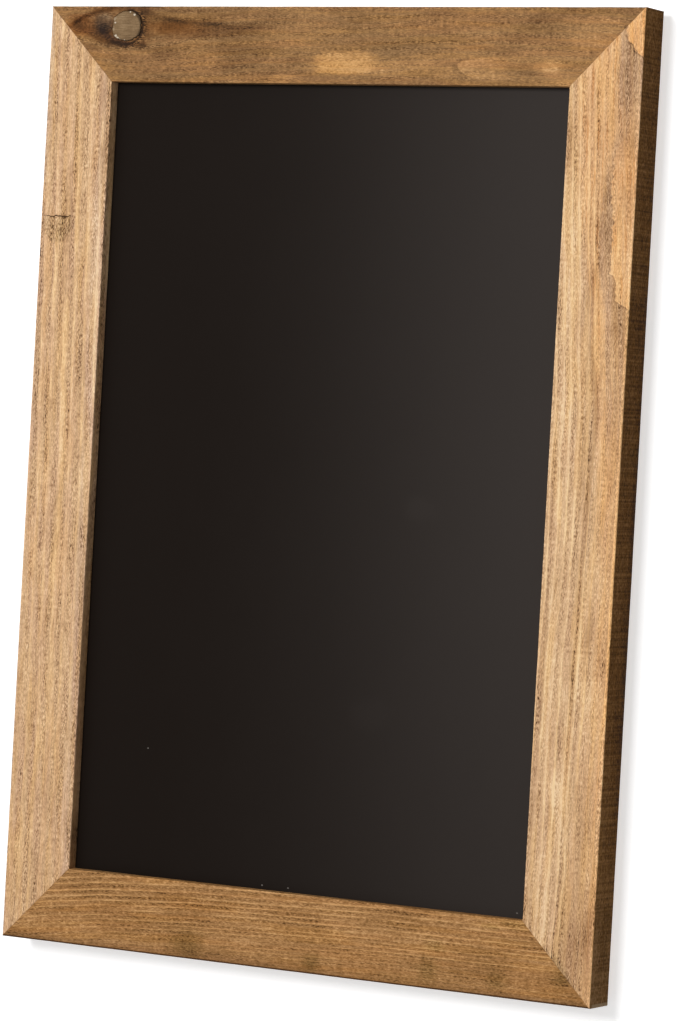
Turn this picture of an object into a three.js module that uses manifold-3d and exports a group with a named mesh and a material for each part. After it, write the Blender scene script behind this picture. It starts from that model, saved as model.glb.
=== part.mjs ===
// Magnetic chalkboard: a coated steel sheet in a mitred pine frame, hung on the wall by four D-rings.
// Millimetres, +Z up, the writing side faces -Y and the wall plane is y = 0.
// The origin is the middle of the line between the two wall hooks that carry the board upright.
import * as THREE from "three";
import { mergeVertices } from "three/addons/utils/BufferGeometryUtils.js";
import Module from "manifold-3d";

const wasm = await Module();
wasm.setup();

// Writing area that shows inside the rails
const opening = { width: 279.4, height: 431.8 };

// Rails: their face width, their thickness, and the rebate that takes the sheet and its backer
const rail = {
  width: 41.3,
  depth: 22.2,
  lip: 7,
  rebate: 6.4,
  ease: 0.9,
  mitreGap: 0.3,
};

const sheet = { thickness: 0.6, cornerRadius: 2 };
const backer = { thickness: 3.2, cornerRadius: 1 };

// Flat steel points driven into the rebate wall, which press on the backer
const tab = {
  width: 6,
  thickness: 0.6,
  driven: 8,
  showing: 11,
  point: 3,
  tipWidth: 2,
  endRadius: 1.2,
  perLongRail: 3,
  perShortRail: 2,
};

// V-shaped nails across the back of each mitre, placed by their distance from the rail's outer edge
const cornerNail = { leg: 8, thickness: 0.6, depth: 10, sunk: 0.2, fromEdge: [10, 24] };

// D-ring hanger: a folded strap, the ring that swings in its fold, and a round head screw
const strap = {
  width: 9.5,
  thickness: 0.8,
  holeToEnd: 5.5,
  holeToFold: 7.5,
  foldGap: 0.2,
  foldPastTop: Math.PI * 0.28,
};
const ring = { wire: 2, halfWidth: 9, height: 15.5, cornerRadius: 2.5 };
const screw = { shank: 3, length: 14, tip: 4, head: 6.8, headHeight: 2.2, slotWidth: 1, slotDepth: 1 };

// Distances of the hangers along the rails: the hook line under the top edge, and in from the right edge
const hang = { belowTop: 95, inFromRight: 80 };

// Rubber discs on the back that stand the board off the wall
const bumper = { diameter: 11, height: 5, taper: 1, round: 0.8, fromEnd: 54 };

// Clearances
const fit = { panelEdge: 0.8, seat: 0.1, cut: 0.3, foldRunning: 0.25 };

const outer = { width: opening.width + 2 * rail.width, height: opening.height + 2 * rail.width };
const backOfRail = -bumper.height;
const frontOfRail = backOfRail - rail.depth;
const frontOfSheet = frontOfRail + rail.lip + fit.seat;
const frontOfBacker = frontOfSheet + sheet.thickness + fit.seat;
const frontOfTab = frontOfBacker + backer.thickness + fit.seat;
const backLand = rail.width - rail.rebate;
const hookAboveBar = ring.height - ring.wire / 2;
const boardTop = hang.belowTop;
const boardMiddle = boardTop - outer.height / 2;

const paint = (hex, roughness, metalness = 0) => new THREE.MeshStandardMaterial({ color: hex, roughness, metalness });
const finish = {
  darkPine: paint(0x9a7040, 0.75),
  lightPine: paint(0xb58a52, 0.75),
  chalkboard: paint(0x262220, 0.85),
  hardboard: paint(0x6e4a2e, 0.9),
  bareSteel: paint(0x8d8f90, 0.5, 1),
  platedSteel: paint(0xbfc0bd, 0.3, 1),
  rubber: paint(0x1c1c1c, 0.9),
};

function part(name, geometry, material) {
  const mesh = new THREE.Mesh(geometry, material);
  mesh.name = name;
  return mesh;
}

// A closed geometry as a solid that can be joined and cut
function solid(geometry) {
  const bare = new THREE.BufferGeometry().setAttribute("position", geometry.getAttribute("position"));
  bare.setIndex(geometry.index);
  const merged = mergeVertices(bare, 1e-4);
  return new wasm.Manifold(
    new wasm.Mesh({
      numProp: 3,
      vertProperties: merged.attributes.position.array,
      triVerts: new Uint32Array(merged.index.array),
    }),
  );
}

function geometryOf(body) {
  const mesh = body.getMesh();
  const geometry = new THREE.BufferGeometry();
  geometry.setAttribute("position", new THREE.BufferAttribute(mesh.vertProperties, 3));
  geometry.setIndex(new THREE.BufferAttribute(mesh.triVerts, 1));
  const flat = geometry.toNonIndexed();
  flat.computeVertexNormals();
  return flat;
}

function polygon(points) {
  return new THREE.Shape(points.map(([x, y]) => new THREE.Vector2(x, y)));
}

// A flat shape drawn in x and z becomes a plate whose front face is at y = front
function plate(shape, front, thickness) {
  const geometry = new THREE.ExtrudeGeometry(shape, { depth: thickness, bevelEnabled: false, curveSegments: 6 });
  return geometry.rotateX(Math.PI / 2).translate(0, front + thickness, 0);
}

function roundedRectangle(width, height, radius) {
  const [x, z] = [width / 2, height / 2];
  const shape = new THREE.Shape();
  shape.moveTo(-x + radius, -z);
  shape.lineTo(x - radius, -z);
  shape.absarc(x - radius, -z + radius, radius, -Math.PI / 2, 0);
  shape.absarc(x - radius, z - radius, radius, 0, Math.PI / 2);
  shape.absarc(-x + radius, z - radius, radius, Math.PI / 2, Math.PI);
  shape.absarc(-x + radius, -z + radius, radius, Math.PI, 1.5 * Math.PI);
  return shape;
}

// Rail frame of reference: x along the rail, z = 0 at its outer edge and negative towards the writing area.

// The rail's section, as distance in from the outer edge against depth behind the front face
function railSection() {
  const { width, depth, lip, ease } = rail;
  return polygon([
    [ease, 0],
    [width - ease, 0],
    [width, ease],
    [width, lip],
    [backLand, lip],
    [backLand, depth],
    [ease, depth],
    [0, depth - ease],
    [0, ease],
  ]);
}

// A length of the section whose ends are cut back at 45 degrees, half a mitre gap short of the corner line
function mitredBlank(length) {
  const geometry = new THREE.ExtrudeGeometry(railSection(), { depth: 1, bevelEnabled: false });
  const place = geometry.getAttribute("position");
  const shortBy = (rail.mitreGap / 2) * Math.SQRT2;
  for (let i = 0; i < place.count; i++) {
    const [inward, deep, end] = [place.getX(i), place.getY(i), place.getZ(i)];
    const reach = length / 2 - inward - shortBy;
    place.setXYZ(i, end > 0.5 ? reach : -reach, frontOfRail + deep, -inward);
  }
  return solid(geometry);
}

function tabShape() {
  const wall = -backLand;
  const [half, tip] = [tab.width / 2, tab.tipWidth / 2];
  const [inner, drivenEnd] = [wall - tab.showing, wall + tab.driven];
  const shape = new THREE.Shape();
  shape.moveTo(-half + tab.endRadius, inner);
  shape.lineTo(half - tab.endRadius, inner);
  shape.absarc(half - tab.endRadius, inner + tab.endRadius, tab.endRadius, -Math.PI / 2, 0);
  shape.lineTo(half, drivenEnd - tab.point);
  shape.lineTo(tip, drivenEnd);
  shape.lineTo(-tip, drivenEnd);
  shape.lineTo(-half, drivenEnd - tab.point);
  shape.absarc(-half + tab.endRadius, inner + tab.endRadius, tab.endRadius, Math.PI, 1.5 * Math.PI);
  return shape;
}

function tabSlot(x) {
  const deep = tab.driven + fit.cut;
  const block = new THREE.BoxGeometry(tab.width + 2 * fit.cut, tab.thickness + 2 * fit.cut, 2 * deep);
  return solid(block.translate(x, frontOfTab + tab.thickness / 2, -backLand));
}

// The corner nail's two legs, from an apex on the mitre line, grown by a clearance on every side
function cornerNailShape(apexX, apexZ, sideX, sideZ, clear) {
  const half = cornerNail.thickness / 2 + clear;
  const leg = cornerNail.leg + clear;
  const outline = [
    [half, half],
    [-leg, half],
    [-leg, -half],
    [-half, -half],
    [-half, -leg],
    [half, -leg],
  ];
  return polygon(outline.map(([x, z]) => [apexX + sideX * x, apexZ + sideZ * z]));
}

function cornerNailSlot(length, fromEdge, side) {
  const shape = cornerNailShape(side * (length / 2 - fromEdge), -fromEdge, side, 1, fit.cut);
  const deep = cornerNail.depth + cornerNail.sunk + fit.cut;
  return solid(plate(shape, backOfRail - deep, 2 * deep));
}

function pilotHole(x, z) {
  const radius = screw.shank / 2 + fit.cut;
  const deep = screw.length + fit.cut;
  const hole = new THREE.CylinderGeometry(radius, radius, 2 * deep, 16);
  return solid(hole.translate(x, backOfRail, z));
}

function railBody(length, tabPlaces, holes) {
  const cuts = tabPlaces.map(tabSlot);
  for (const fromEdge of cornerNail.fromEdge)
    for (const side of [-1, 1]) cuts.push(cornerNailSlot(length, fromEdge, side));
  for (const [x, z] of holes) cuts.push(pilotHole(x, z));
  return geometryOf(cuts.reduce((body, cut) => body.subtract(cut), mitredBlank(length)));
}

// Evenly spread places along a rail's rebate, the first and last half a space from its ends
function spread(count, length) {
  const step = length / count;
  return Array.from({ length: count }, (_, i) => (i - (count - 1) / 2) * step);
}

// Hanger frame of reference: x from the strap's end to its fold, y = 0 on the wood, z across the strap,
// and the screw's axis at x = 0.
const foldRadius = ring.wire / 2 + fit.foldRunning;
const barHeight = strap.thickness + foldRadius;

// Middle line of the strip: along the wood, round the bar, down a ramp and back over itself
function strapMiddleLine() {
  const t = strap.thickness;
  const turn = foldRadius + t / 2;
  const upper = 1.5 * t + strap.foldGap;
  const steps = 18;
  const line = [[-strap.holeToEnd, t / 2]];
  for (let i = 0; i <= steps; i++) {
    const angle = -Math.PI / 2 + (i / steps) * (Math.PI + strap.foldPastTop);
    line.push([strap.holeToFold + turn * Math.cos(angle), barHeight + turn * Math.sin(angle)]);
  }
  const [leaveX, leaveY] = line.at(-1);
  line.push([leaveX - (leaveY - upper) / Math.tan(strap.foldPastTop), upper], [-strap.holeToEnd, upper]);
  return line;
}

// Both sides of a strip of even thickness about its middle line
function stripShape(line, thickness) {
  const points = line.map(([x, y]) => new THREE.Vector2(x, y));
  const sides = [[], []];
  points.forEach((p, i) => {
    const before = points[Math.max(i - 1, 0)];
    const after = points[Math.min(i + 1, points.length - 1)];
    const into = i > 0 ? p.clone().sub(before).normalize() : after.clone().sub(p).normalize();
    const out = i < points.length - 1 ? after.clone().sub(p).normalize() : into.clone();
    const along = into.clone().add(out).normalize();
    const across = new THREE.Vector2(-along.y, along.x);
    const reach = thickness / 2 / along.dot(into);
    sides[0].push(p.clone().addScaledVector(across, reach));
    sides[1].push(p.clone().addScaledVector(across, -reach));
  });
  return new THREE.Shape([...sides[0], ...sides[1].reverse()]);
}

function strapBody() {
  const half = strap.width / 2;
  const tall = 4 * barHeight;
  const strip = new THREE.ExtrudeGeometry(stripShape(strapMiddleLine(), strap.thickness), {
    depth: strap.width,
    bevelEnabled: false,
  }).translate(0, 0, -half);
  const plan = new THREE.Shape();
  plan.moveTo(2 * strap.holeToFold, -half);
  plan.lineTo(2 * strap.holeToFold, half);
  plan.lineTo(half - strap.holeToEnd, half);
  plan.absarc(half - strap.holeToEnd, 0, half, Math.PI / 2, 1.5 * Math.PI);
  const trim = new THREE.ExtrudeGeometry(plan, { depth: tall, bevelEnabled: false, curveSegments: 8 });
  const hole = new THREE.CylinderGeometry(screw.shank / 2 + fit.cut, screw.shank / 2 + fit.cut, tall, 20);
  const rounded = solid(strip).intersect(solid(trim.rotateX(Math.PI / 2).translate(0, tall / 2, 0)));
  return geometryOf(rounded.subtract(solid(hole)));
}

// Centre line of the ring, lying back over the strap: the bar, two corners, two arms and a half circle
function ringLine() {
  const { halfWidth, height, cornerRadius: r } = ring;
  const path = new THREE.Path();
  path.moveTo(0, -halfWidth + r);
  path.lineTo(0, halfWidth - r);
  path.absarc(-r, halfWidth - r, r, 0, Math.PI / 2);
  path.absarc(halfWidth - height, 0, halfWidth, Math.PI / 2, 1.5 * Math.PI);
  path.absarc(-r, -halfWidth + r, r, -Math.PI / 2, 0);
  const points = path.getPoints(6);
  return points.filter((p, i) => i === 0 || p.distanceTo(points[i - 1]) > 1e-3).slice(0, -1);
}

// Round wire bent along a closed flat line
function ringBody() {
  const line = ringLine();
  const sides = 10;
  const position = [];
  const index = [];
  line.forEach((p, i) => {
    const before = line.at(i - 1);
    const after = line[(i + 1) % line.length];
    const into = p.clone().sub(before).normalize();
    const along = after.clone().sub(p).normalize().add(into).normalize();
    const reach = ring.wire / 2 / along.dot(into);
    for (let k = 0; k < sides; k++) {
      const angle = (2 * Math.PI * k) / sides;
      const across = reach * Math.cos(angle);
      position.push(p.x - along.y * across, (ring.wire / 2) * Math.sin(angle), p.y + along.x * across);
      const [a, b] = [i * sides + k, i * sides + ((k + 1) % sides)];
      const [c, d] = [a, b].map((v) => (v + sides) % (line.length * sides));
      index.push(a, c, b, b, c, d);
    }
  });
  const geometry = new THREE.BufferGeometry();
  geometry.setAttribute("position", new THREE.Float32BufferAttribute(position, 3));
  geometry.setIndex(index);
  return geometry.translate(strap.holeToFold, barHeight, 0);
}

// Round head wood screw with a straight slot, its head seated on the folded strap
function screwBody() {
  const seat = 2 * strap.thickness + strap.foldGap + fit.seat;
  const [shank, head] = [screw.shank / 2, screw.head / 2];
  const profile = [[0, -screw.length], [shank, -screw.length + screw.tip], [shank, seat]];
  const domeSteps = 5;
  for (let i = 0; i <= domeSteps; i++) {
    const angle = ((i / domeSteps) * Math.PI) / 2;
    profile.push([head * Math.cos(angle), seat + screw.headHeight * Math.sin(angle)]);
  }
  profile[profile.length - 1][0] = 0;
  const slot = new THREE.BoxGeometry(screw.head + 1, 2 * screw.slotDepth, screw.slotWidth);
  const turned = solid(new THREE.LatheGeometry(profile.map(([x, y]) => new THREE.Vector2(x, y)), 20));
  return geometryOf(turned.subtract(solid(slot.translate(0, seat + screw.headHeight, 0))));
}

// Tapered rubber disc, stuck to the rail's back, with its flat top on the wall plane
function bumperBody() {
  const foot = bumper.diameter / 2;
  const profile = new THREE.Path();
  profile.moveTo(0, fit.seat);
  profile.lineTo(foot, fit.seat);
  profile.lineTo(foot - bumper.taper, bumper.height - bumper.round);
  profile.absarc(foot - bumper.taper - bumper.round, bumper.height - bumper.round, bumper.round, 0, Math.PI / 2);
  profile.lineTo(0, bumper.height);
  return new THREE.LatheGeometry(profile.getPoints(2), 24);
}

function hanger(name, x, z, turn) {
  const group = new THREE.Group();
  group.add(part(`${name}_strap`, strapBody(), finish.platedSteel));
  group.add(part(`${name}_ring`, ringBody(), finish.platedSteel));
  group.add(part(`${name}_screw`, screwBody(), finish.platedSteel));
  group.position.set(x, backOfRail, z);
  group.rotation.y = turn;
  return group;
}

// One side of the frame with everything that is fastened to its rail. hangers holds the screw's place along
// the rail and the strap's turn, and bumpers the discs' places along it.
function frameSide({ name, length, inner, tabs, hangers, bumpers, wood }) {
  const group = new THREE.Group();
  const middleOfLand = -backLand / 2;
  const tabPlaces = spread(tabs, inner);
  const holes = hangers.map(({ x }) => [x, middleOfLand]);
  group.add(part(`${name}_rail`, railBody(length, tabPlaces, holes), wood));
  tabPlaces.forEach((x, i) => {
    const body = plate(tabShape(), frontOfTab, tab.thickness).translate(x, 0, 0);
    group.add(part(`${name}_tab_${i + 1}`, body, finish.bareSteel));
  });
  for (const { label, x, turn } of hangers) group.add(hanger(label, x, middleOfLand, turn));
  for (const { label, x } of bumpers)
    group.add(part(label, bumperBody().translate(x, backOfRail, middleOfLand), finish.rubber));
  return group;
}

const board = new THREE.Group();

// The screw is this far below the hook line on an upright hanger, with the ring turned up
const screwBelowHook = strap.holeToFold + hookAboveBar;
const screwAboveMiddle = outer.height / 2 - hang.belowTop - screwBelowHook;
const screwFromMiddle = outer.width / 2 - hang.inFromRight - screwBelowHook;
const bumperFromMiddle = outer.height / 2 - bumper.fromEnd;

const sides = [
  {
    name: "top",
    turn: 0,
    length: outer.width,
    inner: opening.width,
    tabs: tab.perShortRail,
    hangers: [{ label: "top_hanger", x: screwFromMiddle, turn: 0 }],
    bumpers: [],
    wood: finish.darkPine,
  },
  {
    name: "right",
    turn: Math.PI / 2,
    length: outer.height,
    inner: opening.height,
    tabs: tab.perLongRail,
    hangers: [{ label: "right_hanger", x: -screwAboveMiddle, turn: Math.PI }],
    bumpers: [
      { label: "top_right_bumper", x: -bumperFromMiddle },
      { label: "bottom_right_bumper", x: bumperFromMiddle },
    ],
    wood: finish.lightPine,
  },
  {
    name: "bottom",
    turn: Math.PI,
    length: outer.width,
    inner: opening.width,
    tabs: tab.perShortRail,
    hangers: [{ label: "bottom_hanger", x: -screwFromMiddle, turn: Math.PI }],
    bumpers: [],
    wood: finish.darkPine,
  },
  {
    name: "left",
    turn: -Math.PI / 2,
    length: outer.height,
    inner: opening.height,
    tabs: tab.perLongRail,
    hangers: [{ label: "left_hanger", x: screwAboveMiddle, turn: 0 }],
    bumpers: [
      { label: "bottom_left_bumper", x: -bumperFromMiddle },
      { label: "top_left_bumper", x: bumperFromMiddle },
    ],
    wood: finish.lightPine,
  },
];

for (const side of sides) {
  const group = frameSide(side);
  const across = side.length === outer.width ? outer.height : outer.width;
  group.rotation.y = side.turn;
  group.position.set((Math.sin(side.turn) * across) / 2, 0, boardMiddle + (Math.cos(side.turn) * across) / 2);
  board.add(group);
}

function panel(name, layer, front, material) {
  const width = opening.width + 2 * (rail.rebate - fit.panelEdge);
  const height = opening.height + 2 * (rail.rebate - fit.panelEdge);
  const body = plate(roundedRectangle(width, height, layer.cornerRadius), front, layer.thickness);
  return part(name, body.translate(0, 0, boardMiddle), material);
}

board.add(panel("writing_sheet", sheet, frontOfSheet, finish.chalkboard));
board.add(panel("backer", backer, frontOfBacker, finish.hardboard));

// Two nails at each corner, their apex towards the outside of the frame
for (const [row, up] of [["top", 1], ["bottom", -1]])
  for (const [column, out] of [["left", -1], ["right", 1]])
    cornerNail.fromEdge.forEach((fromEdge, i) => {
      const x = out * (outer.width / 2 - fromEdge);
      const z = boardMiddle + up * (outer.height / 2 - fromEdge);
      const shape = cornerNailShape(x, z, out, up, 0);
      const front = backOfRail - cornerNail.sunk - cornerNail.depth;
      const body = plate(shape, front, cornerNail.depth);
      board.add(part(`${row}_${column}_corner_nail_${i + 1}`, body, finish.bareSteel));
    });

export default board;
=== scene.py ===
# Looks of the magnetic chalkboard: stained pine rails, matt black coated sheet and the hardware on its back.
# Lengths are metres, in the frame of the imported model: +Z up, the writing side faces -Y, the wall is y = 0.
import math

import bmesh
import bpy
from mathutils import Matrix, Vector, noise


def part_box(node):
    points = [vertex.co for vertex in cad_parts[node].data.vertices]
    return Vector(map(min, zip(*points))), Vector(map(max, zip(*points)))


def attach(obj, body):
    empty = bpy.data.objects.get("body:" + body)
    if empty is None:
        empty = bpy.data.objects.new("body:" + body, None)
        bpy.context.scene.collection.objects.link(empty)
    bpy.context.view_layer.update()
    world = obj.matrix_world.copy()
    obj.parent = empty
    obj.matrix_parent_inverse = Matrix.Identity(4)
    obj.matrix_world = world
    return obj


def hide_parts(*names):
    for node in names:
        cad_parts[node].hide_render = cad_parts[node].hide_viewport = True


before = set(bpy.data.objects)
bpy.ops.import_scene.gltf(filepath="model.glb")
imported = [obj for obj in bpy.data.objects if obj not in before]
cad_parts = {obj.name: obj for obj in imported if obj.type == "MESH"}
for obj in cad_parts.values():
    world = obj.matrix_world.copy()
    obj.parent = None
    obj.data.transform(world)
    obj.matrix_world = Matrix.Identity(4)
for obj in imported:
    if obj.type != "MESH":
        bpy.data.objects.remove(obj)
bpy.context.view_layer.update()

MM = 0.001

# The board's planes and sizes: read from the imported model, but for the rebate's width and the sheet's play
(_, FRONT, _), (RIGHT, RAIL_BACK, _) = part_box("right_rail")
LEFT = -RIGHT
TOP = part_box("top_rail")[1][2]
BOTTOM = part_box("bottom_rail")[0][2]
MIDDLE = (TOP + BOTTOM) / 2
RAIL_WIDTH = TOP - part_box("top_rail")[0][2]
SHEET_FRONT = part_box("writing_sheet")[0][1]
REBATE = 6.4 * MM
SHEET_PLAY = 0.1 * MM
LIP = SHEET_FRONT - FRONT - SHEET_PLAY

# Camera of the photograph, from a fit of the frame's corners
CAMERA_PLACE = (1.16315, FRONT - 2.0429, MIDDLE + 0.0313)
CAMERA_TURN = (88.986, -3.186, 29.331)
CAMERA_LENS = 155.71


class Socket:
    """One output of a node, so that shader maths reads as arithmetic."""

    def __init__(self, nodes, output):
        self.nodes = nodes
        self.output = output

    def __add__(self, other):
        return self.nodes.math("ADD", self, other)

    def __sub__(self, other):
        return self.nodes.math("SUBTRACT", self, other)

    def __mul__(self, other):
        return self.nodes.math("MULTIPLY", self, other)

    def __truediv__(self, other):
        return self.nodes.math("DIVIDE", self, other)

    def __rsub__(self, other):
        return self.nodes.math("SUBTRACT", other, self)

    def __pow__(self, other):
        return self.nodes.math("POWER", self, other)

    def __abs__(self):
        return self.nodes.math("ABSOLUTE", self)

    def smooth(self, low, high):
        """0 below low and 1 above high, with a soft step between. low may be the higher one."""
        inputs = {"Value": self, "From Min": low, "From Max": high}
        return self.nodes.node("MapRange", {"interpolation_type": "SMOOTHSTEP"}, inputs)

    __radd__ = __add__
    __rmul__ = __mul__


class Nodes:
    """A node tree under construction."""

    def __init__(self, tree):
        self.tree = tree
        tree.nodes.clear()

    def node(self, kind, settings=None, inputs=None, output=0):
        """Adds a shader node of a kind, sets its settings and sockets, and returns one of its outputs."""
        made = self.tree.nodes.new(f"ShaderNode{kind}")
        for key, value in (settings or {}).items():
            if key == "stops":
                self.set_stops(made.color_ramp, value)
            else:
                setattr(made, key, value)
        for key, value in (inputs or {}).items():
            self.feed(made.inputs[key], value)
        return Socket(self, made.outputs[output]) if made.outputs else None

    def set_stops(self, ramp, stops):
        while len(ramp.elements) < len(stops):
            ramp.elements.new(0.5)
        for element, (place, colour) in zip(ramp.elements, stops):
            element.position = place
            element.color = (*colour, 1)

    def feed(self, socket, value):
        if isinstance(value, Socket):
            self.tree.links.new(value.output, socket)
        else:
            socket.default_value = value

    def show(self, kind, surface):
        """Ends the tree with its output node."""
        self.node(kind, None, {"Surface": surface})

    def math(self, operation, *values):
        return self.node("Math", {"operation": operation}, dict(enumerate(values)))

    def surfaces(self, factor, first, second):
        """A mix of two surfaces."""
        return self.node("MixShader", None, {0: factor, 1: first, 2: second})

    def seen(self):
        """1 for the rays that see the background: from the camera, off a mirror or through glass."""
        rays = ("Is Camera Ray", "Is Glossy Ray", "Is Transmission Ray")
        camera_ray, glossy, through = (self.node("LightPath", output=name) for name in rays)
        return self.math("MAXIMUM", self.math("MAXIMUM", camera_ray, glossy), through)


class Shader(Nodes):
    """A material under construction. Its coordinates are millimetres."""

    def __init__(self, name):
        self.material = new_material(name)
        super().__init__(self.material.node_tree)

    def far(self, across, down):
        """How far a place is from the origin of two distances."""
        return self.math("SQRT", across * across + down * down)

    def oval(self, across, down, centre, radii, uneven):
        """1 at an oval's centre, 0 at its edge and negative outside."""
        return 1 - self.far((across - centre[0]) / radii[0], (down - centre[1]) / radii[1]) + uneven

    def noise(self, x, y, z, detail=2, roughness=0.5, output=0):
        place = self.node("CombineXYZ", None, {0: x, 1: y, 2: z})
        inputs = {"Vector": place, "Scale": 1, "Detail": detail, "Roughness": roughness}
        return self.node("TexNoise", None, inputs, output)

    def noises(self, x, y, z, detail=2):
        """Three noises from one node."""
        return self.parts("SeparateColor", self.noise(x, y, z, detail, output="Color"))

    def parts(self, kind, whole):
        """The three parts of a colour or a vector, by a node of the given kind."""
        first = self.node(kind, None, {0: whole})
        return [Socket(self, output) for output in first.output.node.outputs]

    def place(self):
        """Object coordinates as three numbers."""
        whole = self.node("TexCoord", output="Object")
        return [part * 1000 for part in self.parts("SeparateXYZ", whole)]

    def mix(self, factor, first, second, blend="MIX"):
        """Mixes two colours. blend is one of Blender's names, such as MULTIPLY."""
        made = self.tree.nodes.new("ShaderNodeMix")
        made.data_type = "RGBA"
        made.blend_type = blend
        made.clamp_factor = True
        self.feed(made.inputs["Factor"], factor)
        colours = [s for s in made.inputs if s.type == "RGBA"]
        for socket, value in zip(colours, (first, second)):
            self.feed(socket, value if isinstance(value, Socket) else (*value, 1))
        return Socket(self, next(s for s in made.outputs if s.type == "RGBA"))

    def tinted(self, factor, colour, tint):
        """A colour with some of a tint multiplied in."""
        return self.mix(factor, colour, self.mix(1, colour, tint, "MULTIPLY"))

    def ramp(self, factor, stops):
        return self.node("ValToRGB", {"stops": stops}, {"Fac": factor})

    def bump(self, height, distance, strength):
        inputs = {"Height": height, "Distance": distance * MM, "Strength": strength}
        return self.node("Bump", None, inputs, "Normal")

    def finish(self, colour, roughness, normal, metallic=0, specular=0.5):
        inputs = {"Base Color": colour, "Roughness": roughness, "Normal": normal}
        inputs |= {"Metallic": metallic, "Specular IOR Level": specular}
        self.show("OutputMaterial", self.node("BsdfPrincipled", None, inputs))
        return self.material


def new_material(name):
    material = bpy.data.materials.new(name)
    material.use_nodes = True
    return material


def linear(value):
    """One channel of a colour as the eye sees it, 0 to 255, as linear light."""
    share = value / 255
    return share / 12.92 if value < 11 else ((share + 0.055) / 1.055) ** 2.4


def rgb(*channels):
    return tuple(linear(value) for value in channels)


# Stain colours from dark to light. 0.5 is the middle tone of a rail's front face.
HONEY = [
    (0, rgb(74, 52, 34)),
    (0.12, rgb(146, 110, 77)),
    (0.25, rgb(174, 135, 98)),
    (0.5, rgb(206, 166, 125)),
    (0.75, rgb(231, 191, 147)),
    (1, rgb(249, 217, 174)),
]
OLIVE = [
    (0, rgb(52, 38, 27)),
    (0.25, rgb(112, 80, 50)),
    (0.5, rgb(147, 111, 73)),
    (0.75, rgb(182, 137, 89)),
    (1, rgb(214, 168, 116)),
]
AMBER = [
    (0, rgb(84, 54, 28)),
    (0.12, rgb(119, 83, 46)),
    (0.25, rgb(134, 96, 55)),
    (0.5, rgb(158, 115, 71)),
    (0.75, rgb(181, 135, 87)),
    (1, rgb(208, 162, 112)),
]
# Side faces and back: a darker stain, with painted shade in the colours
SIDE_STAIN_AND_SHADE = [(0, rgb(60, 34, 12)), (0.5, rgb(120, 79, 30)), (1, rgb(170, 124, 74))]
GOLD_TINT = (1.02, 0.92, 0.8)
RUST_TINT = (1, 0.88, 0.74)

# How each rail's wood runs and looks. gap is the distance between growth lines, bend how deep they lie along
# the run, broken how far apart their faint stretches are, and widen spreads the lines out inwards.
PINE = {
    "top": dict(
        stain=OLIVE, seed=3.1, gap=3.4, widen=0, broken=40, wander=5, ripple=1.2, crest=0.04,
        dark=0.04, grit=0.38, fibre=0.14, mottle=0.5, blotch=0.6, saw=0.3, level=0.02,
        rosy=(1, 0.945, 0.93), bend=[(0, 0), (60, 3), (130, 0), (230, -2), (362, 1)],
    ),
    "right": dict(
        stain=HONEY, seed=11.7, gap=4.3, widen=0, broken=60, wander=4.4, ripple=1.3, crest=0.23,
        dark=0.16, grit=0.57, fibre=0.4, mottle=0.36, blotch=0.76, saw=0.4, level=0.15,
        rosy=(0.97, 0.95, 0.97),
        bend=[(0, 11), (60, 7), (128, 3), (170, 0.5), (205, -2), (257, -1.5), (385, 1), (514, 2.5)],
    ),
    "bottom": dict(
        stain=AMBER, seed=23.4, gap=2, widen=0.006, broken=40, wander=1.8, ripple=0.5, crest=0.34,
        dark=0.12, grit=0.6, fibre=0.42, mottle=0.75, blotch=0.7, saw=0.3, level=0.08,
        rosy=(1, 0.96, 0.92), bend=[(0, -6), (30, -1), (60, 2.5), (120, 6.5), (240, 10), (362, 11)],
    ),
    "left": dict(
        stain=HONEY, seed=37.9, gap=6.8, widen=0, broken=24, wander=3.4, ripple=2, crest=0.22,
        dark=0.13, grit=0.6, fibre=0.6, mottle=0.52, blotch=0.46, saw=0.3, level=0.09,
        rosy=(0.97, 0.95, 1), bend=[(0, 0), (128, 3), (257, 6.5), (385, 8), (514, 8.5)],
    ),
}

# The dead knot in the top rail: distance along the rail, in from its outer edge, and its half sizes
KNOT = {"run": 49.2, "inward": 11.1, "half_length": 9.2, "half_width": 8.4}
# The crack across the left rail: distance down from the rail's top, and where it starts and ends
CRACK = {"run": 115.6, "start": 1.3, "end": 20.8}

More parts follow.
